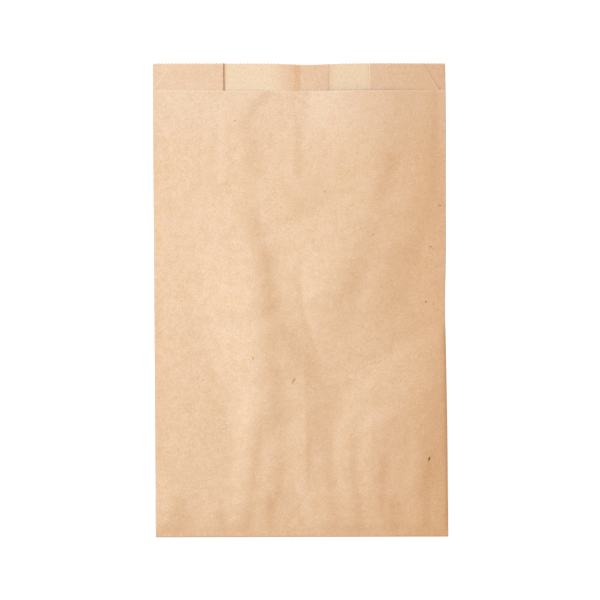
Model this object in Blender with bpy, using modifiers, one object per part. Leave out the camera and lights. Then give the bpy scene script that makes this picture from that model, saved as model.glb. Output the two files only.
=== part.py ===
"""A brown paper lunch bag with side gussets, lying flat as it comes from the pack.

The bag is one sheet of kraft paper. It is folded round into a tube with a gusset at each side,
its two long edges are lapped and pasted down the back, and its lower end is turned over behind
and closed by a pasted flap. A toothed knife has cut the front panel shorter than the rest, which
leaves a lip at the mouth; the same step in the cut made the flap.

Units are metres and +Z is up. The bag lies on its back, +X is to the right of somebody who looks
down on its front, and +Y points to its mouth. The origin is under the middle of the bag.
"""

import math
from collections import namedtuple

import bmesh
import bpy
from mathutils import Vector

MM = 0.001

# Size of the folded bag
BAG_WIDTH = 180.0 * MM
BAG_LENGTH = 291.6 * MM
LEFT_GUSSET = 43.8 * MM
RIGHT_GUSSET = 46.1 * MM
LEAN = 2.1 * MM  # how far the side creases run out of square between the bottom and the mouth

# Paper, paste and creases
PAPER = 0.10 * MM
PASTE = 0.08 * MM
PASTE_BITE = 0.03 * MM  # how deep the paste soaks into the paper on each side of it
CREASE_GAP = 0.10 * MM  # left between the two layers at a side or gusset crease
BOTTOM_GAP = 0.30 * MM  # left inside the bottom fold

# Cuts
LIP = 16.7 * MM  # how much lower the front panel is cut; the flap is as long
CORNER_CUT = 11.4 * MM  # width of the slanting cut at each outer corner of the gussets
TOOTH_PITCH = 2.1 * MM
TOOTH_DEPTH = 0.6 * MM

# Long seam down the back
SEAM_EDGE = 0.8 * MM  # where the outer lap ends, from the middle of the bag
SEAM_LAP = 17.4 * MM
SEAM_STEP = 2.5 * MM  # length over which the inner lap climbs onto the outer one
SEAM_PASTE_MARGIN = 3.0 * MM  # bare paper left between the paste and each edge

# Bottom
TURN_UP = 6.0 * MM  # how much of the tube is turned over behind
TURN_SLOPE = 6.0 * MM  # length over which the back comes down off each thicker stack
FLAP_PASTE_MARGIN = 2.0 * MM  # bare paper left between the paste and the flap's end
FLAP_CLEARANCE = 1.5 * MM  # how far past the flap's end the back stays raised

# How far the folded layers spring apart
SIDE_SPRING = 0.15 * MM  # at a side crease, above the pressed stack of layers
GUSSET_SPRING = 0.40 * MM  # from the back panel up to a gusset's lower half, at its inner crease
FRONT_LOFT = 2.6 * MM  # how far the front panel stands up over the middle of the bag
LEFT_FLAT = 12.0 * MM  # how far in from the left crease the front panel starts to rise
LEFT_LOFT = 56.0 * MM  # width over which it rises from there
RIGHT_LOFT = 50.0 * MM  # width over which it comes down to the right crease
BOTTOM_LOFT = 26.0 * MM  # from the bottom fold to where the layers are fully sprung
MOUTH_LOFT = 60.0 * MM  # length over which the front panel comes down to the mouth
MOUTH_SHARE = 0.15  # how much of the loft is left at the front panel's cut

# How finely the sheet is divided
FRONT_CELL = 7.6 * MM
BACK_CELL = 16.0 * MM
GUSSET_CELL = 12.0 * MM
LENGTH_CELL = 11.5 * MM
LIP_CELL = 8.4 * MM
FLAP_CELL = 5.6 * MM
CORNER_CELL = 5.7 * MM
CREASE_STEPS = 3
BOTTOM_STEPS = 6

# Soft folds in the front panel, from handling
FOLD_DROP = 1.0 * MM  # height of a fold whose drop is 1
FOLD_WIDTH = 8.0 * MM  # half the width over which the paper drops
FOLD_REACH = 34.0 * MM  # how far to each side of a fold the paper is level again
FOLD_MARGIN = 20.0 * MM  # how far in from the side creases the folds are at their full height

# One of those folds. It runs down the bag between two places, each given as shares of half the
# bag's width and half its length from the middle. The paper drops to its right by the drop, or
# rises where the drop is negative.
Fold = namedtuple("Fold", "start end drop")

FOLDS = (
    Fold((-0.35, 0.46), (-0.21, -0.09), 0.85),
    Fold((-0.21, -0.09), (0.15, -0.42), 1.00),
    Fold((0.15, -0.42), (0.12, -0.63), 0.70),
    Fold((-0.53, 0.36), (-0.43, -0.53), -1.00),
    Fold((0.27, 0.49), (0.06, 0.00), -0.60),
    Fold((0.49, 0.33), (0.26, -0.09), 0.60),
    Fold((0.71, 0.25), (0.56, -0.09), 0.50),
    Fold((0.95, -0.17), (0.42, -0.47), -0.95),
    Fold((0.20, 0.95), (0.31, 0.53), -1.30),
    Fold((0.71, 0.95), (0.65, 0.53), 0.90),
)

# The layers from the back panel up
BACK, LAP, GUSSET_BACK, GUSSET_FRONT, FRONT = range(5)

# Levels that follow from the sizes above, each to the middle of the paper
LAYER_STEP = PAPER + CREASE_GAP
LAP_STEP = PAPER + PASTE
CREASE_RADIUS = LAYER_STEP / 2
BOTTOM_RADIUS = (PAPER + BOTTOM_GAP) / 2
OUTER_RADIUS = BOTTOM_RADIUS + 3 * LAYER_STEP
BEND_HEIGHT = OUTER_RADIUS + PAPER / 2
BEND_Y = -BAG_LENGTH / 2 + OUTER_RADIUS + PAPER / 2
FLOOR = PAPER / 2
GUSSET_HEIGHT = FLOOR + GUSSET_SPRING
SIDE_STACK = 4 * LAYER_STEP + SIDE_SPRING
BACK_OVER_TURN_UP = BEND_HEIGHT + BOTTOM_RADIUS
BACK_OVER_FLAP = FLOOR + LAP_STEP
SIDE = BAG_WIDTH / 2 - CREASE_RADIUS - PAPER / 2
LEFT_INNER = -SIDE + LEFT_GUSSET
RIGHT_INNER = SIDE - RIGHT_GUSSET
FLAP_END = TURN_UP + LIP
MOUTH_FRONT = BAG_LENGTH / 2 - LIP - BEND_Y  # travel from the bend to the front panel's cut
MOUTH_BACK = BAG_LENGTH / 2 - BEND_Y  # travel from the bend to the long cut

# A place round the section: its x, and its height as a share of the way between two layers
Station = namedtuple("Station", "x lower upper share")

# A line across the bag: how far along it lies from the bottom bend, and how far it is turned over
Row = namedtuple("Row", "travel turn")


def mix(first, second, share):
    return first + (second - first) * share


def ramp(value, start, stop):
    """0 before start, 1 after stop, and a smooth climb between them."""
    share = min(1.0, max(0.0, (value - start) / (stop - start)))
    return share * share * (3 - 2 * share)


def divide(start, stop, cell):
    """Evenly spaced values from start to stop, about one cell apart, both ends included."""
    cells = max(1, round(abs(stop - start) / cell))
    return [mix(start, stop, i / cells) for i in range(cells + 1)]


def fold_relief(x, y):
    """The sum of the handling folds at a point of the front panel."""
    total = 0.0
    place = Vector((x, y))
    half_bag = Vector((BAG_WIDTH / 2, BAG_LENGTH / 2))
    for fold in FOLDS:
        start = Vector(fold.start) * half_bag
        run = Vector(fold.end) * half_bag - start
        share = (place - start).dot(run) / run.length_squared
        beyond = max(0.0, -share, share - 1) * run.length
        to_right = (place - start).dot(Vector((-run.y, run.x))) / run.length
        step = math.tanh(to_right / FOLD_WIDTH) * math.exp(-((to_right / FOLD_REACH) ** 2))
        total -= fold.drop * FOLD_DROP / 2 * step * math.exp(-((beyond / FOLD_WIDTH) ** 2))
    return total * ramp(SIDE - abs(x), 0.0, FOLD_MARGIN)


def back_height(x, travel):
    """The back panel lies on the floor, and climbs over the flap and the turned-up end."""
    corner_start = SIDE - CORNER_CUT - TURN_SLOPE
    corner = ramp(abs(x), corner_start, SIDE - CORNER_CUT)
    over_flap = BACK_OVER_FLAP + LAYER_STEP * corner
    off_turn_up = ramp(travel, TURN_UP, TURN_UP + TURN_SLOPE)
    past_flap = FLAP_END + FLAP_CLEARANCE
    off_flap = ramp(travel, past_flap, past_flap + TURN_SLOPE)
    return mix(mix(BACK_OVER_TURN_UP, over_flap, off_turn_up), FLOOR, off_flap)


def side_height(side_x, travel):
    """The front panel's height along a side crease."""
    stacked = back_height(side_x, travel) + SIDE_STACK
    return mix(BEND_HEIGHT + OUTER_RADIUS, stacked, ramp(travel, 0.0, BOTTOM_LOFT))


def front_height(x, travel):
    """The front panel stands up over the middle, and lies flatter at its edges."""
    from_left = ramp(SIDE + x, LEFT_FLAT, LEFT_FLAT + LEFT_LOFT)
    short_of_right = 1 - min(1.0, (SIDE - x) / RIGHT_LOFT)
    across = from_left * (1 - short_of_right**2)
    mouthward = ramp(travel, MOUTH_FRONT - MOUTH_LOFT, MOUTH_FRONT)
    risen = max(0.0, FRONT_LOFT * across + fold_relief(x, BEND_Y + travel))
    risen *= mix(1.0, MOUTH_SHARE, mouthward) * ramp(travel, 0.0, BOTTOM_LOFT)
    return side_height(math.copysign(SIDE, x), travel) + risen


def gusset_height(layer, x, travel):
    """Each half of a gusset runs straight from its side crease to the inner crease they share."""
    inner_x = RIGHT_INNER if x > 0 else LEFT_INNER
    side_x = math.copysign(SIDE, x)
    inward = (side_x - x) / (side_x - inner_x)
    sprung = ramp(travel, 0.0, BOTTOM_LOFT)
    inner = mix(BACK_OVER_TURN_UP + LAYER_STEP, GUSSET_HEIGHT, sprung)
    if layer == GUSSET_BACK:
        return mix(back_height(side_x, travel) + LAYER_STEP, inner, inward)
    return mix(side_height(side_x, travel) - LAYER_STEP, inner + LAYER_STEP, inward)


def layer_height(layer, x, travel):
    if layer == BACK:
        return back_height(x, travel)
    if layer == LAP:
        return back_height(x, travel) + LAP_STEP
    if layer == FRONT:
        return front_height(x, travel)
    return gusset_height(layer, x, travel)


def folded_place(station, row):
    """Where a point of the sheet lies in the folded bag."""
    travel = row.travel if row.turn == 0 else 0.0
    lower = layer_height(station.lower, station.x, travel)
    upper = layer_height(station.upper, station.x, travel)
    radius = mix(lower, upper, station.share) - BEND_HEIGHT
    y = BEND_Y + row.travel - radius * math.sin(row.turn)
    z = BEND_HEIGHT + radius * math.cos(row.turn)
    return station.x - LEAN * y / BAG_LENGTH, y, z


def flat_run(layer, places):
    return [Station(x, layer, layer, 0.0) for x in places]


def crease(first, second, x, outward):
    """The stations round a crease, without the ends of the two layers that it joins."""
    stations = []
    for i in range(1, CREASE_STEPS):
        turn = math.pi * i / CREASE_STEPS
        bulge = outward * CREASE_RADIUS * math.sin(turn)
        stations.append(Station(x + bulge, first, second, (1 - math.cos(turn)) / 2))
    return stations


def section():
    """The stations round the tube, in named stretches, from the outer lap to the inner lap."""
    corner_x = SIDE - CORNER_CUT
    right_corner = divide(SIDE, corner_x, CORNER_CELL)
    right_rest = divide(corner_x, RIGHT_INNER, GUSSET_CELL)[1:]
    left_corner = divide(-SIDE, -corner_x, CORNER_CELL)
    left_rest = divide(-corner_x, LEFT_INNER, GUSSET_CELL)[1:]
    lap_end = SEAM_EDGE + SEAM_LAP
    seam_foot = SEAM_EDGE - SEAM_STEP
    step_top = SEAM_EDGE - PAPER
    return {
        "right_back": flat_run(BACK, divide(SEAM_EDGE, SIDE, BACK_CELL)),
        "right_lower_crease": crease(BACK, GUSSET_BACK, SIDE, 1),
        "right_gusset_back": flat_run(GUSSET_BACK, right_corner + right_rest),
        "right_inner_crease": crease(GUSSET_BACK, GUSSET_FRONT, RIGHT_INNER, -1),
        "right_gusset_front": flat_run(GUSSET_FRONT, right_rest[::-1]),
        "right_corner": flat_run(GUSSET_FRONT, right_corner[::-1]),
        "right_upper_crease": crease(GUSSET_FRONT, FRONT, SIDE, 1),
        "front": flat_run(FRONT, divide(SIDE, -SIDE, FRONT_CELL)),
        "left_upper_crease": crease(FRONT, GUSSET_FRONT, -SIDE, -1),
        "left_corner": flat_run(GUSSET_FRONT, left_corner),
        "left_gusset_front": flat_run(GUSSET_FRONT, left_rest),
        "left_inner_crease": crease(GUSSET_FRONT, GUSSET_BACK, LEFT_INNER, 1),
        "left_gusset_back": flat_run(GUSSET_BACK, (left_corner + left_rest)[::-1]),
        "left_lower_crease": crease(GUSSET_BACK, BACK, -SIDE, -1),
        "left_back": flat_run(BACK, divide(-SIDE, seam_foot, BACK_CELL)),
        "lap": flat_run(LAP, divide(step_top, lap_end, BACK_CELL)),
    }


def stretch(parts, first, last):
    """The stations from one named stretch to another."""
    names = list(parts)
    chosen = names[names.index(first) : names.index(last) + 1]
    return [station for name in chosen for station in parts[name]]


def turned_rows():
    """The rows of the tube from its turned-up end round the bottom bend."""
    turns = [math.pi * (1 - i / BOTTOM_STEPS) for i in range(BOTTOM_STEPS)]
    return [Row(TURN_UP, math.pi)] + [Row(0.0, turn) for turn in turns]


def body_rows():
    """The rows of the tube from the bottom bend up to the front panel's cut."""
    past_flap = FLAP_END + FLAP_CLEARANCE
    stops = (0.0, TURN_UP, TURN_UP + TURN_SLOPE, past_flap, past_flap + TURN_SLOPE)
    travels = [0.0]
    for start, stop in zip(stops, stops[1:]):
        travels += divide(start, stop, TURN_SLOPE)[1:]
    travels += divide(stops[-1], MOUTH_FRONT, LENGTH_CELL)[1:]
    return [Row(travel, 0.0) for travel in travels]


def add_patch(sheet, stations, rows, narrow=None):
    """Adds a grid of the sheet's stations and rows, folded into place, and gives its last row.

    narrow moves a station sideways at each row, for a patch whose side edge is cut at a slant.
    """
    grid = bmesh.ops.create_grid(
        sheet, x_segments=len(stations) - 1, y_segments=len(rows) - 1, size=1.0
    )
    corners = iter(grid["verts"])
    for row_index, row in enumerate(rows):
        share = row_index / (len(rows) - 1)
        for station, corner in zip(stations, corners):
            placed = narrow(station, share) if narrow else station
            corner.co = folded_place(placed, row)
    return grid["verts"][-len(stations) :]


def slant_to_inner(station, share):
    """Draws half a gusset's free corner in towards its inner crease, as the lip goes up."""
    if station.lower != GUSSET_FRONT or station.upper != GUSSET_FRONT:
        return station
    inner_x = RIGHT_INNER if station.x > 0 else LEFT_INNER
    side_x = math.copysign(SIDE, station.x)
    kept = 1 - share * CORNER_CUT / abs(side_x - inner_x)
    return station._replace(x=mix(inner_x, station.x, kept))


def slant_to_side(station, share):
    """Draws the flap's doubled corner out to its side crease, as the flap goes to its end."""
    if station.lower != GUSSET_FRONT or station.upper != GUSSET_FRONT:
        return station
    return station._replace(x=mix(station.x, math.copysign(SIDE, station.x), share))


def tooth_rise(x):
    """The toothed knife's line at x: 0 at a root, TOOTH_DEPTH at a point."""
    along = (x / TOOTH_PITCH) % 1.0
    return TOOTH_DEPTH * (1 - abs(2 * along - 1))


def cut_with_teeth(sheet, rim):
    """Gives the knife's toothed line to a straight cut, whose vertices come in order."""
    half_pitch = TOOTH_PITCH / 2
    toothed = set(rim)
    for start, end in zip(rim, rim[1:]):
        low, high = sorted((start, end), key=lambda vert: vert.co.x)
        first = math.floor(low.co.x / half_pitch) + 1
        last = math.ceil(high.co.x / half_pitch) - 1
        for step in range(first, last + 1):
            edge = next(link for link in low.link_edges if link.other_vert(low) is high)
            share = (step * half_pitch - low.co.x) / (high.co.x - low.co.x)
            low = bmesh.utils.edge_split(edge, low, share)[1]
            toothed.add(low)
    for vert in toothed:
        vert.co.y += tooth_rise(vert.co.x) - TOOTH_DEPTH


def paper_material():
    material = bpy.data.materials.new("kraft_paper")
    material.use_nodes = True
    shader = material.node_tree.nodes["Principled BSDF"]
    shader.inputs["Base Color"].default_value = (0.79, 0.57, 0.37, 1.0)
    shader.inputs["Roughness"].default_value = 0.85
    shader.inputs["Metallic"].default_value = 0.0
    material.diffuse_color = (0.79, 0.57, 0.37, 1.0)
    return material


def new_object(name, mesh_source, collection):
    mesh = bpy.data.meshes.new(name)
    mesh_source.to_mesh(mesh)
    mesh_source.free()
    made = bpy.data.objects.new(name, mesh)
    collection.objects.link(made)
    return made


def solidify(made, thickness):
    modifier = made.modifiers.new("Thickness", "SOLIDIFY")
    modifier.thickness = thickness
    modifier.offset = 0.0
    modifier.use_even_offset = True
    modifier.use_quality_normals = True


def make_sheet(collection):
    """The folded sheet: the tube, its lip and its flap, sewn where they join."""
    parts = section()
    sheet = bmesh.new()
    whole = stretch(parts, "right_back", "lap")
    mouth = add_patch(sheet, whole, turned_rows() + body_rows())
    front_cut = [vert for vert, at in zip(mouth, whole) if FRONT in (at.lower, at.upper)]
    cut_with_teeth(sheet, front_cut)

    lip_rows = [Row(travel, 0.0) for travel in divide(MOUTH_FRONT, MOUTH_BACK, LIP_CELL)]
    for ends in (("right_back", "right_corner"), ("left_corner", "lap")):
        lip_cut = add_patch(sheet, stretch(parts, *ends), lip_rows, slant_to_inner)
        cut_with_teeth(sheet, lip_cut)

    flap = stretch(parts, "right_corner", "left_corner")
    flap_rows = [Row(travel, math.pi) for travel in divide(TURN_UP, FLAP_END, FLAP_CELL)]
    flap_cut = add_patch(sheet, flap, flap_rows, slant_to_side)
    cut_with_teeth(sheet, flap_cut)

    bmesh.ops.remove_doubles(sheet, verts=sheet.verts, dist=PAPER / 1000)
    bmesh.ops.dissolve_degenerate(sheet, edges=sheet.edges, dist=PAPER / 1000)
    bmesh.ops.recalc_face_normals(sheet, faces=sheet.faces)

    made = new_object("paper_bag", sheet, collection)
    made.data.materials.append(paper_material())
    solidify(made, PAPER)
    return made


def make_seam_paste(collection):
    """The line of paste between the two laps, which follows them round the bottom bend."""
    lap_end = SEAM_EDGE + SEAM_LAP
    places = divide(SEAM_EDGE + SEAM_PASTE_MARGIN, lap_end - SEAM_PASTE_MARGIN, SEAM_LAP)
    stations = [Station(x, BACK, LAP, 0.5) for x in places]
    rows = turned_rows() + body_rows()
    rows[0] = Row(TURN_UP - SEAM_PASTE_MARGIN, math.pi)
    rows.append(Row(MOUTH_BACK - SEAM_PASTE_MARGIN, 0.0))
    sheet = bmesh.new()
    add_patch(sheet, stations, rows)
    made = new_object("seam_paste", sheet, collection)
    solidify(made, PASTE + 2 * PASTE_BITE)
    return made


def make_flap_paste(collection):
    """The band of paste that holds the flap to the back panel."""
    low_y = BEND_Y + TURN_UP + TURN_SLOPE + FLAP_PASTE_MARGIN
    high_y = BEND_Y + FLAP_END - FLAP_PASTE_MARGIN
    half_width = SIDE - CORNER_CUT - TURN_SLOPE - FLAP_PASTE_MARGIN
    thickness = PASTE + 2 * PASTE_BITE
    band = bmesh.new()
    bmesh.ops.create_cube(band, size=1.0)
    bmesh.ops.scale(band, vec=(2 * half_width, high_y - low_y, thickness), verts=band.verts)
    middle = (0.0, (low_y + high_y) / 2, (FLOOR + BACK_OVER_FLAP) / 2)
    bmesh.ops.translate(band, vec=middle, verts=band.verts)
    return new_object("flap_paste", band, collection)


def join(bag, paste):
    modifier = bag.modifiers.new(paste.name, "BOOLEAN")
    modifier.operation = "UNION"
    modifier.solver = "EXACT"
    modifier.object = paste
    paste.hide_render = True
    paste.display_type = "WIRE"


def new_collection(name):
    collection = bpy.data.collections.new(name)
    bpy.context.scene.collection.children.link(collection)
    return collection


def main():
    for existing in list(bpy.data.objects):
        bpy.data.objects.remove(existing)
    bag = make_sheet(new_collection("paper_lunch_bag"))
    pastes = new_collection("pastes")
    join(bag, make_seam_paste(pastes))
    join(bag, make_flap_paste(pastes))


main()
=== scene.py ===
# Brown paper lunch bag, folded flat and lying on its back, seen from straight above.
# The whole bag is one sheet of kraft paper. The mesh below repeats the folds of the solid
# at a finer grain and adds the relief of the front panel, the cuts and the paper itself.

import math

import bmesh
import bpy
import numpy as np
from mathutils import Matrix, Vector


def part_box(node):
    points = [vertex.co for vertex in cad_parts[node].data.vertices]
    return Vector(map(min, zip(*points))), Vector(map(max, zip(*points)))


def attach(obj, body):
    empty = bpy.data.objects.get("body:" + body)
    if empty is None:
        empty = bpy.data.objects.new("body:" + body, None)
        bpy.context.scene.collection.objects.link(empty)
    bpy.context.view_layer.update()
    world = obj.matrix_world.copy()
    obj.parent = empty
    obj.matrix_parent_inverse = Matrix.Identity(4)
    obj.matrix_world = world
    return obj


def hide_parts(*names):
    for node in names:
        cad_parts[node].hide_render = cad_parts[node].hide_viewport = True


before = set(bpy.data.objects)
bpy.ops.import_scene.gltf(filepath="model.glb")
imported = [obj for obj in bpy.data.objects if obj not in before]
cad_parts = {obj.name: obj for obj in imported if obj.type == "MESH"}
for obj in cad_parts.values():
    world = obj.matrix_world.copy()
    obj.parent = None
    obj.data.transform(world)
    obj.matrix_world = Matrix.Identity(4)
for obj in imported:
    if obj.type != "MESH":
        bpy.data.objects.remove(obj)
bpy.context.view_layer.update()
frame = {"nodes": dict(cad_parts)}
print("frame loaded:", ", ".join(frame["nodes"]))

mm = 0.001

# The folded sheet, in millimetres. The folds lie within 0.5 of the solid's, and the cuts run
# a little less true than its straight ones.
bag = {
    "lean": 2.1,  # how far the side creases run out of square over the length
    "leftGusset": 43.4,
    "rightGusset": 46.1,
    "lip": 16.7,
    "cornerCut": 11.4,
    "leftLipCut": (0.0, 11.4),  # how far the lip's corners are cut in, at its foot and its top
    "rightLipCut": (3.7, 13.4),
    "seamEdge": 0.8,
    "seamLap": 17.4,
    "seamStep": 2.5,  # the inner lap climbs onto the outer one over this
    "lapTip": 0.6,  # how much of its height the inner lap's end keeps
    "darkBandReach": 2.0,  # how far left of the seam's foot the darker band fades in
    "seamShade": (-18.5, -7.0, 0.8),  # single paper darkens from here to there, by this share
    "turnUp": 6.0,  # how much of the tube is turned over behind
    "turnSlope": 6.0,  # the back climbs over what is turned over in this run
    "flapClearance": 1.5,
    "paper": 0.10,
    "paste": 0.08,
    "creaseGap": 0.10,
    "bottomGap": 0.30,
    "sideSpring": 0.15,  # the layers at a side crease don't lie quite flat
    "gussetSpring": 0.40,  # from the back panel up to the gussets' inner creases
    "lipPress": (0.9, 5.0),  # past the front cut the gussets close by this share, over this run
    "foldDepth": 1.16,  # for all the folds of handling together
    "toothPitch": 2.1,
    "toothDepth": 0.55,
}

# Where the open mouth lets the back panel rise: a ridge beside the seam, with the places of its
# foot, top and end, and a flat bulge right of it, with its foot and top and where it falls
mouthRise = {
    "run": 40.0, "ridge": 0.55, "ridgePlaces": (-37.0, -7.0, 1.8),
    "bulge": 0.7, "bulgeRise": (15.0, 56.0), "bulgeFall": (48.0, 80.0),
}

# How the front panel stands up over the layers below. Each edge's loft is the run in which the
# panel rises from it, and its round is how bluntly it does.
frontPanel = {
    "loft": 2.6,  # its height in the middle
    "leftFlat": 8.0,
    "leftLoft": 92.0,
    "rightLoft": 50.0,
    "rightRound": 1.6,
    "bottomLoft": 70.0,
    "bottomRound": 1.3,
    "bottomRelief": 8.0,  # the folds of handling fade out over this before the bottom
    "mouthLoft": 150.0,
    "mouthShare": 0.37,  # of the loft is left at the mouth
    "leftRim": (0.35, 2.2),  # height and width: the side creases spring open a little
    "rightRim": (0.75, 0.6),
    "rimFall": (4.0, 34.0),
    "softRest": 0.2,  # how softly a deep fold comes to rest on the layers below
}

# How far the knife and the folder ran out of true
wander = {
    "frontRise": 0.1,  # the front cut stands this much higher than square
    "frontBow": 0.6,  # and bows down by this in the middle
    "frontRun": 25.0,
    "topDip": (0.8, 5.0, 16.0),  # depth, place and reach of the long cut's dip over the seam
    "bottomSlant": 0.25,
    "bottomFade": 3.0,  # times the flap's own reach, where that slant ends
    "right": ((118.0, 42.0, 0.5), (-3.0, 24.0, -0.8), (-42.0, 30.0, -0.4)),  # place, reach, distance
    "rightReach": 30.0,
}

# How finely the mesh follows the sheet
grain = {
    "front": 1.5,
    "cell": 4.5,
    "row": 2.0,
    "cutRows": (1.7, 0.85),  # rows set close to a cut, so that its pale edge stays narrow
    "footRow": 0.3,  # the first row of the lip
    "edge": 0.7,  # the first cell in from a gusset's crease
    "shade": 0.45,  # the shadow beside the left gusset's crease
    "lapFoot": 1.0,
    "rim": (0.35, 0.8, 1.5),  # the first stations in from the front panel's sides
    "creaseSteps": 5,
    "bottomSteps": 10,
    "weld": 0.001,
    "sharpDegrees": 44,
}

# The overhead picture's frame. Places on the front panel are given as its pixels; heights and
# widths are millimetres.
overhead = {"framePixels": 600, "frameMm": 369.2, "bagMiddle": (300.3, 300.3)}

# The fade of a fold that gives none, and its reach, as a multiple of its width across
plainFold = {"fade": 14.0, "reachTimes": 5.0}

# What packing and handling left in the front panel. Each line runs along the bag. The paper
# drops to the right over the width across (or climbs, where drop is negative), recovers over
# reach, and may carry a bead of height ridge. fade is the run in and out at the ends.
handlingFolds = {
    # upper left
    "seamUnderneath": {"line": [(300, 50), (299, 130), (299, 178)], "drop": 0.5, "across": 2.2,
                       "reach": 7},
    "gussetUnderneath": {"line": [(222, 60), (222, 190)], "drop": -0.14, "across": 1.2, "reach": 5},
    "mouthLift": {"line": [(330, 60), (330, 110), (340, 150)], "drop": -2.8, "across": 16, "fade": 50},
    "mouthFall": {"line": [(404, 60), (400, 110), (395, 175)], "drop": 1.7, "across": 15, "fade": 60},
    "mouthDent": {"line": [(285, 76), (266, 102), (251, 124)], "drop": 2.1, "across": 5.5},
    "mouthDentFoot": {"line": [(250, 122), (254, 150), (254, 177)], "drop": 0.9, "across": 4.5},
    # main fold, from the upper left down through the middle
    "mainFoldHead": {"line": [(250, 203), (257, 230), (265, 257)], "drop": 1.2, "across": 5.5},
    "mainFold": {"line": [(267, 252), (269, 285), (271, 314)], "drop": 2.8, "across": 7},
    "mainFoldFoot": {"line": [(269, 306), (280, 326), (295, 346), (306, 372)],
                     "drop": 2.4, "across": 9},
    "mainFoldTail": {"line": [(312, 362), (321, 400), (319, 450)], "drop": 1.3, "across": 9},
    "mainFoldLeftTail": {"line": [(267, 334), (270, 354), (274, 385), (276, 410), (280, 432)],
                         "drop": 1.6, "across": 6},
    "crossDent": {"line": [(314, 198), (298, 213), (274, 226)], "drop": 1.0, "across": 8},
    # middle
    "middleRise": {"line": [(342, 185), (330, 228), (316, 256), (313, 300), (324, 345)],
                   "drop": -0.15, "across": 9},
    "middleGroove": {"line": [(303, 262), (303, 305), (310, 330), (321, 362)], "ridge": -0.18,
                     "across": 2.0},
    "middleSlope": {"line": [(296, 262), (294, 292), (297, 322)], "drop": 0.6, "across": 5,
                    "reach": 15},
    "middleBead": {"line": [(304, 360), (305, 430), (304, 480)], "ridge": 0.15, "across": 1.5},
    # right
    "rightMouthDent": {"line": [(437, 60), (437, 200)], "drop": 0.7, "across": 4},
    "rightShoulder": {"line": [(393, 151), (387, 175), (379, 206)], "drop": 0.85, "across": 5},
    "rightShoulderRise": {"line": [(412, 150), (410, 205)], "drop": -0.12, "across": 4},
    "rightFold": {"line": [(374, 215), (364, 250), (345, 304)], "drop": 1.6, "across": 8.5},
    "rightHollow": {"line": [(406, 240), (396, 272), (388, 312)], "drop": 2.1, "across": 12},
    "rightFoldFoot": {"line": [(350, 262), (344, 295), (336, 335)], "drop": 1.0, "across": 10},
    "rightGap": {"line": [(374, 262), (368, 305)], "drop": -0.22, "across": 3},
    "rightCreaseDent": {"line": [(416, 190), (420, 250), (425, 305)], "drop": 1.0, "across": 11,
                        "fade": 30},
    "sweepEdge": {"line": [(500, 276), (452, 316), (420, 340), (385, 368), (350, 400)],
                  "drop": -1.1, "across": 7},
    "sweepHead": {"line": [(450, 314), (430, 348)], "drop": -0.6, "across": 5, "reach": 14},
    "sweepBody": {"line": [(512, 300), (462, 342), (430, 366), (395, 394), (365, 424), (350, 455)],
                  "drop": -2.3, "across": 18, "fade": 50},
    # left
    "leftRise": {"line": [(229, 296), (240, 365), (246, 430)], "drop": -2.1, "across": 17, "fade": 70},
    "leftFootRise": {"line": [(246, 395), (240, 440), (237, 500)], "drop": -1.05, "across": 5},
    "leftFootDent": {"line": [(262, 415), (256, 455), (252, 492)], "drop": 0.6, "across": 3.6},
    # foot
    "footRiseA": {"line": [(264, 440), (259, 505)], "drop": -0.3, "across": 3},
    "footDentA": {"line": [(279, 455), (277, 505)], "drop": 0.38, "across": 2},
    "footRiseB": {"line": [(298, 415), (295, 450), (300, 500)], "drop": -0.6, "across": 4},
    "footDentB": {"line": [(308, 436), (308, 480)], "drop": 0.22, "across": 1.6},
    "rightFootRise": {"line": [(352, 398), (339, 432), (338, 462), (343, 490)],
                      "drop": -0.7, "across": 3.6},
    "rightFootDent": {"line": [(352, 438), (352, 470), (356, 505)], "drop": 0.38, "across": 2.2},
    "footRiseC": {"line": [(370, 412), (362, 445), (364, 495)], "drop": -0.45, "across": 3},
    "footDentC": {"line": [(383, 452), (379, 512)], "drop": 0.62, "across": 2.6},
    "footRiseD": {"line": [(393, 438), (392, 485)], "drop": -0.24, "across": 3},
    "footRiseE": {"line": [(415, 430), (411, 455), (409, 488)], "drop": -0.35, "across": 2.2},
    "footDentD": {"line": [(430, 455), (422, 500)], "drop": 0.7, "across": 3.5},
    "footDentE": {"line": [(330, 438), (328, 480), (333, 525)], "drop": 0.3, "across": 2.5},
    # hem
    "hemDentA": {"line": [(181, 498), (179, 550)], "drop": 1.5, "across": 7},
    "hemDentB": {"line": [(218, 502), (220, 550)], "drop": 0.7, "across": 2.4},
    "hemDentC": {"line": [(246, 503), (246, 550)], "drop": 1.3, "across": 4.6, "fade": 7},
    "hemPinch": {"line": [(268, 500), (273, 515), (279, 550)], "drop": 1.7, "across": 3.4},
    "hemNotch": {"line": [(287, 517), (288, 556)], "drop": -1.3, "across": 1.1, "reach": 8, "fade": 8},
    "hemClimb": {"line": [(311, 492), (311, 560)], "drop": -2.2, "across": 17, "reach": 24, "fade": 32},
    "hemSwell": {"line": [(205, 492), (205, 555)], "ridge": 0.7, "across": 38, "fade": 34},
    "hemRise": {"line": [(372, 492), (372, 555)], "ridge": 0.4, "across": 40, "fade": 34},
    "hemDentD": {"line": [(358, 498), (358, 550)], "drop": 0.6, "across": 2.4},
    "hemDentE": {"line": [(392, 498), (392, 550)], "drop": 1.0, "across": 4.5},
    "hemDentF": {"line": [(424, 500), (424, 550)], "drop": 0.5, "across": 2.4},
}

low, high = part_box("paper_bag")
length = (high.y - low.y) / mm
width = (high.x - low.x) / mm - bag["lean"]
backLayer, lapLayer, gussetBack, gussetFront, frontLayer = range(5)

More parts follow.
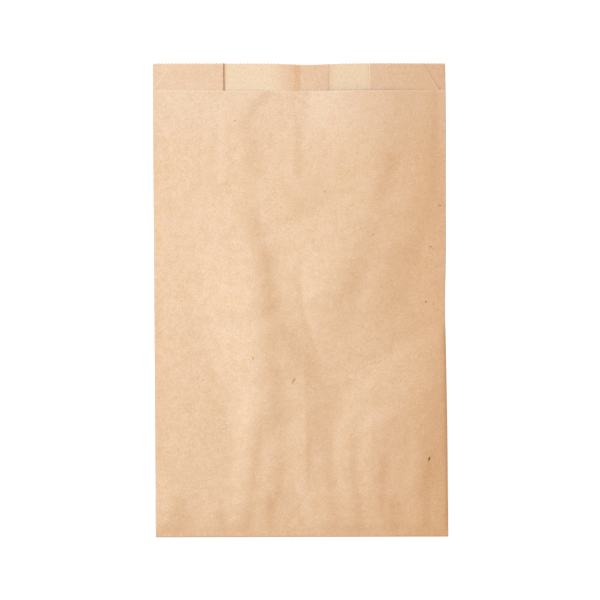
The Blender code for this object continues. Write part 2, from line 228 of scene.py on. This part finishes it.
layerStep = bag["paper"] + bag["creaseGap"]
lapStep = bag["paper"] + bag["paste"]
bottomRadius = (bag["paper"] + bag["bottomGap"]) / 2
outerRadius = bottomRadius + 3 * layerStep
bendHeight = outerRadius + bag["paper"] / 2
bendY = -length / 2 + bendHeight
floorLevel = bag["paper"] / 2
side = width / 2 - (layerStep + bag["paper"]) / 2
leftInner = -side + bag["leftGusset"]
rightInner = side - bag["rightGusset"]
seamFoot = bag["seamEdge"] - bag["seamStep"]
lapEnd = bag["seamEdge"] + bag["seamLap"]
flapEnd = bag["turnUp"] + bag["lip"]
mouthFront = length / 2 - bag["lip"] - bendY
mouthBack = length / 2 - bendY


def ramp(value, start, stop):
    share = np.clip((value - start) / (stop - start), 0, 1)
    return share * share * (3 - 2 * share)


def mix(first, second, share):
    return first + (second - first) * share


def divide(start, stop, cell):
    return list(np.linspace(start, stop, max(1, round(abs(stop - start) / cell)) + 1))


def onPanel(point):
    scale = overhead["frameMm"] / overhead["framePixels"]
    return (point[0] - overhead["bagMiddle"][0]) * scale, (overhead["bagMiddle"][1] - point[1]) * scale


def smoothLine(y, points):
    # x along a line of points that rise in y, on cubic curves through them
    ys = np.array([point[1] for point in points])
    xs = np.array([point[0] for point in points])
    slopes = np.gradient(xs, ys)
    i = np.clip(np.searchsorted(ys, y) - 1, 0, len(ys) - 2)
    span = ys[i + 1] - ys[i]
    t = (np.clip(y, ys[0], ys[-1]) - ys[i]) / span
    start = xs[i] * (1 + 2 * t) * (1 - t) ** 2 + span * slopes[i] * t * (1 - t) ** 2
    return start + xs[i + 1] * t * t * (3 - 2 * t) + span * slopes[i + 1] * t * t * (t - 1)


def foldRelief(x, y):
    relief = np.zeros_like(x)
    for fold in handlingFolds.values():
        line = [onPanel(point) for point in reversed(fold["line"])]
        away = x - smoothLine(y, line)
        fade = fold.get("fade", plainFold["fade"])
        reach = fold.get("reach", plainFold["reachTimes"] * fold["across"])
        along = ramp(y, line[0][1] - fade / 2, line[0][1] + fade / 2)
        along = along * ramp(-y, -line[-1][1] - fade / 2, -line[-1][1] + fade / 2)
        recover = np.exp(-(away / reach) ** 2)
        step = -fold.get("drop", 0.0) / 2 * np.tanh(away / fold["across"]) * recover
        bead = fold.get("ridge", 0.0) * np.exp(-(away / fold["across"]) ** 2)
        relief += along * (step + bead)
    return bag["foldDepth"] * relief


def risenMouth(x, travel):
    foot, top, end = mouthRise["ridgePlaces"]
    ridge = mouthRise["ridge"] * ramp(x, foot, top) * (1 - ramp(x, top, end))
    beyond = ramp(x, *mouthRise["bulgeRise"]) * (1 - ramp(x, *mouthRise["bulgeFall"]))
    mouthward = ramp(travel, mouthFront - mouthRise["run"], mouthFront)
    return (ridge + mouthRise["bulge"] * beyond) * mouthward


def backHeight(x, travel):
    # the back lies on the table and climbs over the flap and the turned-up end
    cornerStart = side - bag["cornerCut"] - bag["turnSlope"]
    corner = ramp(abs(x), cornerStart, side - bag["cornerCut"])
    overFlap = floorLevel + lapStep + layerStep * corner
    offTurnUp = ramp(travel, bag["turnUp"], bag["turnUp"] + bag["turnSlope"])
    pastFlap = flapEnd + bag["flapClearance"]
    offFlap = ramp(travel, pastFlap, pastFlap + bag["turnSlope"])
    level = mix(mix(bendHeight + bottomRadius, overFlap, offTurnUp), floorLevel, offFlap)
    return level + risenMouth(x, travel)


def sideHeight(sideX, travel):
    stacked = backHeight(sideX, travel) + 4 * layerStep + bag["sideSpring"]
    return mix(bendHeight + outerRadius, stacked, ramp(travel, 0, frontPanel["bottomLoft"]))


def edgeRims(x):
    total = 0.0
    for inward, rim in ((side + x, "leftRim"), (side - x, "rightRim")):
        height, reach = frontPanel[rim]
        total = total + height * (1 - np.exp(-inward / reach)) * (1 - ramp(inward, *frontPanel["rimFall"]))
    return total


def frontHeight(x, travel):
    # the panel stands up over the middle and lies flatter at its edges; where a fold would
    # press it through the layers below, it comes to rest on them softly
    fromLeft = ramp(side + x, frontPanel["leftFlat"], frontPanel["leftFlat"] + frontPanel["leftLoft"])
    shortOfRight = 1 - np.clip((side - x) / frontPanel["rightLoft"], 0, 1)
    shortOfLoft = 1 - np.clip(travel / frontPanel["bottomLoft"], 0, 1)
    across = fromLeft * (1 - shortOfRight ** frontPanel["rightRound"])
    mouthward = ramp(travel, mouthFront - frontPanel["mouthLoft"], mouthFront)
    loft = frontPanel["loft"] * across * mix(1.0, frontPanel["mouthShare"], mouthward)
    loft = loft * (1 - shortOfLoft ** frontPanel["bottomRound"])
    risen = loft + edgeRims(x) * (1 - mouthward) + foldRelief(x, bendY + travel)
    soft = frontPanel["softRest"]
    risen = (risen + np.sqrt(risen ** 2 + soft ** 2) - soft) / 2
    offBottom = ramp(travel, 0, frontPanel["bottomRelief"])
    return sideHeight(np.where(x > 0, side, -side), travel) + risen * offBottom


def layerLevels(x, travel):
    # heights of the five layers, each held clear of the one below
    back = backHeight(x, travel)
    sideX = np.where(x > 0, side, -side)
    innerX = np.where(x > 0, rightInner, leftInner)
    inward = (sideX - x) / (sideX - innerX)
    sprung = ramp(travel, 0, frontPanel["bottomLoft"])
    innerBack = floorLevel + risenMouth(innerX, travel)
    inner = mix(bendHeight + bottomRadius + layerStep, innerBack + bag["gussetSpring"], sprung)
    front = np.maximum(frontHeight(x, travel), back + lapStep + layerStep)
    lower = mix(backHeight(sideX, travel) + layerStep, inner, inward)
    upper = mix(sideHeight(sideX, travel) - layerStep, inner + layerStep, inward)
    share, run = bag["lipPress"]
    upper = mix(upper, lower + layerStep, share * ramp(travel, mouthFront, mouthFront + run))
    upper = np.minimum(upper, front - layerStep)
    lower = np.minimum(lower, upper - layerStep)
    return np.stack([back, back + lapStep, lower, upper, front])


# A station is a place round the section: its x, and its share of the way between two layers.
def flatRun(layer, places):
    return [(x, layer, layer, 0.0) for x in places]


def crease(first, second, x, outward):
    stations = []
    for i in range(1, grain["creaseSteps"]):
        turn = math.pi * i / grain["creaseSteps"]
        bulge = outward * layerStep / 2 * math.sin(turn)
        stations.append((x + bulge, first, second, (1 - math.cos(turn)) / 2))
    return stations


def sheetSection():
    # the tube's stations from the outer lap round to the inner lap, in named stretches
    cell = grain["cell"]
    stretches = {}
    cornerR = side - bag["cornerCut"]
    close = grain["edge"]
    rightCorner = [side] + divide(side - close, cornerR, cell)
    rightRest = divide(cornerR, rightInner + close, cell)[1:] + [rightInner]
    leftCorner = [-side] + divide(close - side, -cornerR, cell)
    leftRest = divide(-cornerR, leftInner - close, cell)[1:] + [leftInner]
    right = rightCorner + rightRest
    left = leftCorner + leftRest
    backRight = divide(bag["seamEdge"], lapEnd, cell) + divide(lapEnd, side, cell)[1:]
    lapPlaces = [bag["seamEdge"] - bag["paper"]]
    lapPlaces += divide(bag["seamEdge"] + grain["lapFoot"], lapEnd, cell)
    stretches["rightBack"] = flatRun(backLayer, backRight)
    stretches["rightLowerCrease"] = crease(backLayer, gussetBack, side, 1)
    stretches["rightGussetBack"] = flatRun(gussetBack, right)
    stretches["rightInnerCrease"] = crease(gussetBack, gussetFront, rightInner, -1)
    stretches["rightGussetFront"] = flatRun(gussetFront, rightRest[::-1])
    stretches["rightCorner"] = flatRun(gussetFront, rightCorner[::-1])
    stretches["rightUpperCrease"] = crease(gussetFront, frontLayer, side, 1)
    rim = list(grain["rim"])
    panel = divide(side - rim[-1], rim[-1] - side, grain["front"])
    front = [side] + [side - r for r in rim[:-1]] + panel + [r - side for r in rim[-2::-1]] + [-side]
    stretches["front"] = flatRun(frontLayer, front)
    stretches["leftUpperCrease"] = crease(frontLayer, gussetFront, -side, -1)
    stretches["leftCorner"] = flatRun(gussetFront, leftCorner)
    stretches["leftGussetFront"] = flatRun(gussetFront, leftRest)
    stretches["leftInnerCrease"] = crease(gussetFront, gussetBack, leftInner, 1)
    stretches["leftGussetBack"] = flatRun(gussetBack, left[::-1])
    stretches["leftLowerCrease"] = crease(gussetBack, backLayer, -side, -1)
    backLeft = divide(-side, leftInner, cell) + [leftInner + grain["shade"]]
    backLeft += divide(leftInner + 2 * grain["shade"], seamFoot - bag["darkBandReach"], cell)
    backLeft += [seamFoot]
    stretches["leftBack"] = flatRun(backLayer, backLeft)
    stretches["lap"] = flatRun(lapLayer, lapPlaces[:-1]) + [(lapEnd, backLayer, lapLayer, bag["lapTip"])]
    return stretches


def gather(stretches, first, last):
    names = list(stretches)
    chosen = names[names.index(first):names.index(last) + 1]
    return [station for name in chosen for station in stretches[name]]


def foldedGrid(stations, rows, slant=None):
    # places of a patch of the sheet, row by row, once it is folded
    x, lower, upper, share = (np.array(column) for column in zip(*stations))
    travel, turn = (np.array(column)[:, None] for column in zip(*rows))
    along = (travel - travel[0]) / (travel[-1] - travel[0])
    x = np.repeat(x[None, :], len(rows), axis=0)
    if slant:
        corner = (lower == gussetFront) & (upper == gussetFront)
        x = np.where(corner[None, :], slant(x, along), x)
    levels = layerLevels(x, np.where(turn == 0, travel, 0.0) + 0 * x)
    radius = mix(
        np.take_along_axis(levels, np.broadcast_to(lower, x.shape)[None], 0)[0],
        np.take_along_axis(levels, np.broadcast_to(upper, x.shape)[None], 0)[0],
        share[None, :],
    ) - bendHeight
    y = bendY + travel - radius * np.sin(turn)
    z = bendHeight + radius * np.cos(turn)
    return np.stack([x + sideWander(x, y), y + cutWander(x, travel), z], axis=-1)


def sideWander(x, y):
    shift = -bag["lean"] * y / length
    rightward = ramp(x, side - wander["rightReach"], side)
    for place, reach, distance in wander["right"]:
        shift = shift + distance * np.exp(-((y - place) / reach) ** 2) * rightward
    return shift


def cutWander(x, travel):
    atTop = ramp(travel, mouthFront, mouthBack)
    atFront = ramp(travel, mouthFront - wander["frontRun"], mouthFront) - atTop
    atBottom = 1 - ramp(travel, flapEnd, wander["bottomFade"] * flapEnd)
    bow = wander["frontBow"] * (1 - (x / side) ** 2) - wander["frontRise"]
    depth, place, reach = wander["topDip"]
    dip = depth * np.exp(-((x - place) / reach) ** 2)
    return wander["bottomSlant"] * x / side * atBottom - bow * atFront - dip * atTop


def slantToInner(x, along):
    # the lip's corner, cut back towards the inner crease
    innerX = np.where(x > 0, rightInner, leftInner)
    sideX = np.where(x > 0, side, -side)
    foot, top = (np.where(x > 0, bag["rightLipCut"][i], bag["leftLipCut"][i]) for i in (0, 1))
    inset = np.where(along > 0, mix(foot, top, along), 0.0)
    return mix(innerX, x, 1 - inset / abs(sideX - innerX))


def slantToSide(x, along):
    # the flap's doubled corner, which narrows to nothing at the side
    return mix(x, np.where(x > 0, side, -side), along)


def toothRise(x):
    along = (x / bag["toothPitch"]) % 1.0
    return bag["toothDepth"] * (0.5 - abs(2 * along - 1))


def addPatch(sheet, stations, rows, slant=None):
    places = foldedGrid(stations, rows, slant).reshape(-1, 3)
    grid = bmesh.ops.create_grid(
        sheet, x_segments=len(stations) - 1, y_segments=len(rows) - 1, size=1.0
    )
    for vert, place in zip(grid["verts"], places):
        vert.co = place
    return grid["verts"]


def cutWithTeeth(sheet, rim, cutMark):
    halfPitch = bag["toothPitch"] / 2
    toothed = set(rim)
    for start, end in zip(rim, rim[1:]):
        near, far = sorted((start, end), key=lambda vert: vert.co.x)
        first = math.floor(near.co.x / halfPitch) + 1
        last = math.ceil(far.co.x / halfPitch) - 1
        for step in range(first, last + 1):
            edge = next(link for link in near.link_edges if link.other_vert(near) is far)
            share = (step * halfPitch - near.co.x) / (far.co.x - near.co.x)
            near = bmesh.utils.edge_split(edge, near, share)[1]
            toothed.add(near)
    for vert in toothed:
        vert.co.y += toothRise(vert.co.x)
        vert[cutMark] = 1.0


def rowsTo(start, stop):
    # rows of the open tube up to a cut, the last ones close together
    cuts = [stop - gap for gap in grain["cutRows"]] + [stop]
    return divide(start, cuts[0], grain["row"]) + cuts[1:]


def insideMouth(station):
    # what shows in the lip: painted light where one layer lies alone over the table, less of it beside the
    # seam, a painted shadow beside the crease, and a darker band at the seam's foot
    x, lower, upper, _ = station
    onBack = lower == upper == backLayer
    start, full, share = bag["seamShade"]
    besideSeam = share * ramp(x, start, full) * (x < 0)
    single = onBack and (leftInner < x < seamFoot or lapEnd < x < rightInner)
    shaded = onBack and leftInner <= x <= leftInner + grain["shade"]
    pasted = upper <= lapLayer and seamFoot <= x < bag["seamEdge"]
    return single * (1 - besideSeam), float(shaded), float(pasted)


def makeSheet():
    stretches = sheetSection()
    sheet = bmesh.new()
    cutMark = sheet.verts.layers.float.new("cutEdge")
    marks = [sheet.verts.layers.float.new(name) for name in ("singleLayer", "creaseShade", "pastedSeam")]
    bends = [math.pi * (1 - i / grain["bottomSteps"]) for i in range(grain["bottomSteps"])]
    turned = [(bag["turnUp"], math.pi), (bag["turnUp"] / 2, math.pi)]
    turned += [(0.0, turn) for turn in bends]
    body = [(travel, 0.0) for travel in rowsTo(0.0, mouthFront)]
    whole = gather(stretches, "rightBack", "lap")
    mouth = addPatch(sheet, whole, turned + body)[-len(whole):]
    frontCut = [vert for vert, at in zip(mouth, whole) if frontLayer in at[1:3]]
    cutWithTeeth(sheet, frontCut, cutMark)
    lipRows = [(mouthFront, 0.0)]
    lipRows += [(travel, 0.0) for travel in rowsTo(mouthFront + grain["footRow"], mouthBack)]
    for ends, corner in ((("rightBack", "rightCorner"), -1), (("leftCorner", "lap"), 0)):
        lip = gather(stretches, *ends)
        verts = addPatch(sheet, lip, lipRows, slantToInner)
        for vert, at in zip(verts, lip * len(lipRows)):
            for mark, amount in zip(marks, insideMouth(at)):
                vert[mark] = amount
        for rowStart in range(0, len(verts), len(lip)):
            verts[rowStart:rowStart + len(lip)][corner][cutMark] = 1.0
        cutWithTeeth(sheet, verts[-len(lip):], cutMark)
    flap = gather(stretches, "rightCorner", "leftCorner")
    flapRows = [(travel, math.pi) for travel in divide(bag["turnUp"], flapEnd, grain["row"])]
    cutWithTeeth(sheet, addPatch(sheet, flap, flapRows, slantToSide)[-len(flap):], cutMark)
    bmesh.ops.remove_doubles(sheet, verts=sheet.verts, dist=grain["weld"])
    bmesh.ops.dissolve_degenerate(sheet, edges=sheet.edges, dist=grain["weld"])
    bmesh.ops.recalc_face_normals(sheet, faces=sheet.faces)
    bmesh.ops.scale(sheet, vec=(mm, mm, mm), verts=sheet.verts)
    mesh = bpy.data.meshes.new("foldedSheet")
    sheet.to_mesh(mesh)
    sheet.free()
    made = bpy.data.objects.new("foldedSheet", mesh)
    bpy.context.scene.collection.objects.link(made)
    thickness = made.modifiers.new("thickness", "SOLIDIFY")
    thickness.thickness = bag["paper"] * mm
    thickness.offset = 0.0
    thickness.use_even_offset = True
    bpy.context.view_layer.objects.active = made
    bpy.ops.object.modifier_apply(modifier=thickness.name)
    made.data.shade_smooth()
    made.data.set_sharp_from_angle(angle=math.radians(grain["sharpDegrees"]))
    return made


def linear(hexColour):
    parts = [int(hexColour[i:i + 2], 16) / 255 for i in (1, 3, 5)]
    return [p / 12.92 if p <= 0.04045 else ((p + 0.055) / 1.055) ** 2.4 for p in parts] + [1.0]


def addNode(tree, kind, settings=None, inputs=None):
    # inputs are values, or the output sockets of other nodes
    node = tree.nodes.new(kind)
    for name, value in (settings or {}).items():
        setattr(node, name, value)
    for name, value in (inputs or {}).items():
        if isinstance(value, bpy.types.NodeSocket):
            tree.links.new(value, node.inputs[name])
        else:
            node.inputs[name].default_value = value
    return node


# Unbleached kraft paper, uncoated: matt and pale brown. Its formation shows as a fine mottle,
# a little longer along the web than across it, with soft clouds of a warmer brown, and here
# and there a sliver of bark stayed in the pulp. Light and shade are painted in as well: the
# right side darker and browner where the daylight falls off, paler towards the mouth, one layer
# alone over the table lighter, darker over the flap underneath, and a crease's shadow in the lip.
# The left edge, the lip and the bottom are browner, there is a darker band at the seam's foot,
# and the edges cut by the toothed knife are paler, partly for their fibres and partly as a
# painted highlight where the cut catches the light.
kraftPaper = {
    "plain": "#fadbbe",
    "warm": "#f3cfa8",
    "deeperBrown": "#e2ae79",
    "pale": "#fde5d0",
    "overTable": "#ffe9ca",  # one layer alone lets the white table lighten it
    # paler fibres at the cuts, and partly a painted highlight where the cut catches the light
    "cutEdge": "#fde0c4",
    "paintedCreaseShadow": "#cc8238",  # painted shadow beside the left gusset's crease, brown as light through the paper makes it
    # a darker, browner band along the seam's foot
    "darkSeamBand": "#f0b878",
    "mottleLow": "#ede5da",
    "mottleHigh": "#ffffff",
    "roughness": 0.86,
    "specular": 0.3,
    "mottleMm": 0.68,  # real flocs and fibres are finer, so they are drawn as coarse as they need to show
    "mottleStretch": 0.7,
    "mottleNoise": {"Detail": 3.0, "Roughness": 0.6},
    "mottleRange": (0.30, 0.70),
    "cloudMm": 5.0,
    "cloudNoise": {"Detail": 5.0, "Roughness": 0.75},
    "cloudRange": (0.33, 0.67),
    "speck": "#b98a5c",
    "speckMm": 9.0,  # from one speck to the next
    "speckRange": (0.05, 0.02),
    "speckShare": 0.6,
    "sliverEdge": 0.35,
    "sliverShare": 0.85,
    "bumpMm": 0.02,
}

# Where its colour turns: to what, axis and sense, where it starts and is full, in mm, and how much
turning = (
    # painted shade: darker and browner towards the right side, where the daylight from the left falls off
    ("deeperBrown", "X", 1, 40.0, 90.0, 0.34),
    # browner towards the left edge
    ("deeperBrown", "X", -1, 82.0, 92.0, 0.18),
    # browner towards the bottom
    ("deeperBrown", "Y", -1, 122.0, 147.0, 0.03),
    ("deeperBrown", "Y", -1, 121.0, 126.0, 0.03),  # the flap underneath lets less light through
    ("pale", "Y", 1, 85.0, 122.0, 0.30),  # near the mouth light comes in between the layers
    ("deeperBrown", "Y", 1, 128.3, 129.3, 0.11),  # and browner over the lip
)

# The marks that the mesh carries inside the mouth: what each turns to, and how much
lipMarks = (
    ("singleLayer", "overTable", 0.74),
    ("creaseShade", "paintedCreaseShadow", 0.6),
    ("pastedSeam", "darkSeamBand", 0.38),
)

# Slivers that stand out on the front panel: place, length and width in mm, slope in degrees, tint
slivers = (
    ((253.2, 358.2), 3.0, 1.1, -65, "#d5a076"),
    ((293.7, 381.0), 5.2, 1.1, 58, "#cb935f"),
    ((429.0, 458.8), 3.2, 1.4, 68, "#5a3c2c"),
    ((203, 380), 1.1, 0.9, 0, "#c2925f"),
    ((228, 307), 1.1, 0.9, 0, "#c2925f"),
    ((235, 121), 1.1, 0.9, 0, "#c2925f"),
    ((325, 192), 1.2, 0.8, 30, "#b98652"),
    ((373, 235), 1.3, 0.9, 80, "#b07c4a"),
    ((431, 247), 1.3, 1.0, 0, "#a3724a"),
    ((440, 206), 1.3, 1.0, 0, "#a3724a"),
    ((426, 302), 1.6, 1.1, 40, "#94683f"),
)


def makeKraft():
    material = bpy.data.materials.new("unbleachedKraft")
    material.use_nodes = True
    tree = material.node_tree
    shader = tree.nodes["Principled BSDF"]
    mixColour = {"data_type": "RGBA"}
    place = addNode(tree, "ShaderNodeTexCoord").outputs["Object"]
    axes = addNode(tree, "ShaderNodeSeparateXYZ", None, {"Vector": place})
    cloud = addNode(tree, "ShaderNodeTexNoise", None, {
        "Vector": place, "Scale": 1 / (kraftPaper["cloudMm"] * mm), **kraftPaper["cloudNoise"],
    })
    warmShare = addNode(tree, "ShaderNodeMapRange", None, {
        "Value": cloud.outputs["Fac"], "From Min": kraftPaper["cloudRange"][0],
        "From Max": kraftPaper["cloudRange"][1],
    })
    colour = addNode(tree, "ShaderNodeMix", mixColour, {
        0: warmShare.outputs[0], 6: linear(kraftPaper["plain"]), 7: linear(kraftPaper["warm"]),
    }).outputs[2]
    for tint, axis, sense, start, full, share in turning:
        turned = addNode(tree, "ShaderNodeMapRange", {"interpolation_type": "SMOOTHSTEP"}, {
            "Value": axes.outputs[axis], "From Min": sense * start * mm,
            "From Max": sense * full * mm, "To Max": share,
        })
        colour = addNode(tree, "ShaderNodeMix", mixColour, {
            0: turned.outputs[0], 6: colour, 7: linear(kraftPaper[tint]),
        }).outputs[2]
    for mark, tint, share in lipMarks:
        marked = addNode(tree, "ShaderNodeAttribute", {"attribute_name": mark})
        amount = addNode(tree, "ShaderNodeMapRange", None, {
            "Value": marked.outputs["Fac"], "To Max": share,
        })
        colour = addNode(tree, "ShaderNodeMix", mixColour, {
            0: amount.outputs[0], 6: colour, 7: linear(kraftPaper[tint]),
        }).outputs[2]
    web = addNode(tree, "ShaderNodeMapping", None, {
        "Vector": place, "Scale": (1.0, kraftPaper["mottleStretch"], 1.0),
    })
    mottle = addNode(tree, "ShaderNodeTexNoise", None, {
        "Vector": web.outputs[0], "Scale": 1 / (kraftPaper["mottleMm"] * mm),
        **kraftPaper["mottleNoise"],
    })
    mottleShare = addNode(tree, "ShaderNodeMapRange", None, {
        "Value": mottle.outputs["Fac"], "From Min": kraftPaper["mottleRange"][0],
        "From Max": kraftPaper["mottleRange"][1],
    })
    shade = addNode(tree, "ShaderNodeMix", mixColour, {
        0: mottleShare.outputs[0], 6: linear(kraftPaper["mottleLow"]),
        7: linear(kraftPaper["mottleHigh"]),
    })
    colour = addNode(tree, "ShaderNodeMix", {"data_type": "RGBA", "blend_type": "MULTIPLY"}, {
        0: 1.0, 6: colour, 7: shade.outputs[2],
    }).outputs[2]
    # the cut edges: paler fibres, and partly a painted highlight where the cut catches the light
    marked = addNode(tree, "ShaderNodeAttribute", {"attribute_name": "cutEdge"})
    colour = addNode(tree, "ShaderNodeMix", mixColour, {
        0: marked.outputs["Fac"], 6: colour, 7: linear(kraftPaper["cutEdge"]),
    }).outputs[2]
    cells = addNode(tree, "ShaderNodeTexVoronoi", None, {
        "Vector": place, "Scale": 1 / (kraftPaper["speckMm"] * mm),
    })
    speckShare = addNode(tree, "ShaderNodeMapRange", None, {
        "Value": cells.outputs["Distance"], "From Min": kraftPaper["speckRange"][0],
        "From Max": kraftPaper["speckRange"][1], "To Max": kraftPaper["speckShare"],
    })
    colour = addNode(tree, "ShaderNodeMix", mixColour, {
        0: speckShare.outputs[0], 6: colour, 7: linear(kraftPaper["speck"]),
    }).outputs[2]
    for at, long, wide, slope, tint in slivers:
        x, y = onPanel(at)
        z = frontHeight(np.array([x]), np.array([y - bendY]))[0]
        spot = addNode(tree, "ShaderNodeMapping", {"vector_type": "TEXTURE"}, {
            "Vector": place, "Location": (x * mm, y * mm, z * mm),
            "Rotation": (0, 0, math.radians(slope)),
            "Scale": (long * mm / 2, wide * mm / 2, mm),
        })
        ball = addNode(tree, "ShaderNodeTexGradient", {"gradient_type": "SPHERICAL"}, {
            "Vector": spot.outputs[0],
        })
        inside = addNode(tree, "ShaderNodeMapRange", None, {
            "Value": ball.outputs["Fac"], "From Max": kraftPaper["sliverEdge"],
            "To Max": kraftPaper["sliverShare"],
        })
        colour = addNode(tree, "ShaderNodeMix", mixColour, {
            0: inside.outputs[0], 6: colour, 7: linear(tint),
        }).outputs[2]
    tree.links.new(colour, shader.inputs["Base Color"])
    shader.inputs["Roughness"].default_value = kraftPaper["roughness"]
    shader.inputs["Specular IOR Level"].default_value = kraftPaper["specular"]
    bump = addNode(tree, "ShaderNodeBump", None, {
        "Height": mottle.outputs["Fac"], "Strength": 1.0, "Distance": kraftPaper["bumpMm"] * mm,
    })
    tree.links.new(bump.outputs["Normal"], shader.inputs["Normal"])
    return material


# Cool daylight from the left and a warm soft surround. Together they light the paper as it is
# written, and leave its shaded slopes warmer than its bright ones, as paper of this kind looks.
studio = {
    "lamps": {
        "window": {"place": (-0.76, 0.16, 0.31), "size": 0.4, "watts": 8.7},
        "overhead": {"place": (0.0, 0.05, 0.48), "size": 0.2, "watts": 0.87},
    },
    "aim": (0, 0, 0),
    "lampColour": (0.455, 0.715, 1.0),
    "surround": (0.591, 0.375, 0.143),
    "table": {
        "size": 3.0, "white": "#e6e6e6", "clearMm": 0.02,  # just clear of the paper on it
        "glow": (0.84, 0.85, 0.88), "shadowed": (0.24, 0.34, 0.50),  # what is seen of it
    },
}
# The camera looks straight down. The frame's width is measured at focusMm over the table.
camera = {"lensMm": 100.0, "sensorMm": 36.0, "asideMm": (-0.15, 0.0), "focusMm": 1.0}


# White laminate, wiped clean: even and matt. It is seen white, but for the bag's soft shadow.
def makeTable():
    clear = studio["table"]["clearMm"] * mm
    bpy.ops.mesh.primitive_plane_add(size=studio["table"]["size"], location=(0, 0, -clear))
    table = bpy.context.object
    table.name = "table"
    material = bpy.data.materials.new("whiteLaminate")
    material.use_nodes = True
    tree = material.node_tree
    tree.nodes.remove(tree.nodes["Principled BSDF"])
    plain = addNode(tree, "ShaderNodeBsdfDiffuse", None, {"Color": linear(studio["table"]["white"])})
    shown = addNode(tree, "ShaderNodeBsdfDiffuse", None, {
        "Color": (*studio["table"]["shadowed"], 1.0),
    })
    glow = addNode(tree, "ShaderNodeEmission", None, {"Color": (*studio["table"]["glow"], 1.0)})
    both = addNode(tree, "ShaderNodeAddShader")
    tree.links.new(shown.outputs[0], both.inputs[0])
    tree.links.new(glow.outputs[0], both.inputs[1])
    seen = seenRay(tree)
    choose = addNode(tree, "ShaderNodeMixShader", None, {"Fac": seen})
    tree.links.new(plain.outputs[0], choose.inputs[1])
    tree.links.new(both.outputs[0], choose.inputs[2])
    tree.links.new(choose.outputs[0], tree.nodes["Material Output"].inputs["Surface"])
    table.data.materials.append(material)


def seenRay(tree):
    # 1 for rays that carry a picture of the surface: to the camera, in gloss or through glass
    path = addNode(tree, "ShaderNodeLightPath")
    total = addNode(tree, "ShaderNodeMath", {"operation": "MAXIMUM"}, {
        0: path.outputs["Is Camera Ray"], 1: path.outputs["Is Glossy Ray"],
    })
    total = addNode(tree, "ShaderNodeMath", {"operation": "MAXIMUM"}, {
        0: total.outputs[0], 1: path.outputs["Is Transmission Ray"],
    })
    return total.outputs[0]


def makeLight():
    for name, spec in studio["lamps"].items():
        lamp = bpy.data.lights.new(name, "AREA")
        lamp.size = spec["size"]
        lamp.energy = spec["watts"]
        lamp.color = studio["lampColour"]
        holder = bpy.data.objects.new(name, lamp)
        holder.location = spec["place"]
        direction = Vector(studio["aim"]) - Vector(spec["place"])
        holder.rotation_euler = direction.to_track_quat("-Z", "Y").to_euler()
        bpy.context.scene.collection.objects.link(holder)
    world = bpy.data.worlds.new("surround")
    bpy.context.scene.world = world
    world.use_nodes = True
    tree = world.node_tree
    tree.nodes["Background"].inputs["Color"].default_value = (*studio["surround"], 1.0)
    white = addNode(tree, "ShaderNodeBackground", None, {"Color": (1, 1, 1, 1), "Strength": 1.0})
    choose = addNode(tree, "ShaderNodeMixShader", None, {"Fac": seenRay(tree)})
    tree.links.new(tree.nodes["Background"].outputs[0], choose.inputs[1])
    tree.links.new(white.outputs[0], choose.inputs[2])
    tree.links.new(choose.outputs[0], tree.nodes["World Output"].inputs["Surface"])


def makeCamera():
    data = bpy.data.cameras.new("overhead")
    data.lens = camera["lensMm"]
    data.sensor_width = camera["sensorMm"]
    distance = overhead["frameMm"] * camera["lensMm"] / camera["sensorMm"] * mm
    holder = bpy.data.objects.new("overhead", data)
    holder.location = (*(shift * mm for shift in camera["asideMm"]), distance + camera["focusMm"] * mm)
    bpy.context.scene.collection.objects.link(holder)
    bpy.context.scene.camera = holder


sheetObject = makeSheet()
sheetObject.data.materials.append(makeKraft())
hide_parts("paper_bag")
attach(sheetObject, "root")
print("sheet folded:", len(sheetObject.data.polygons), "faces")

makeTable()
makeLight()
makeCamera()
bpy.context.scene.view_settings.view_transform = "Standard"
print("table, light and camera placed")
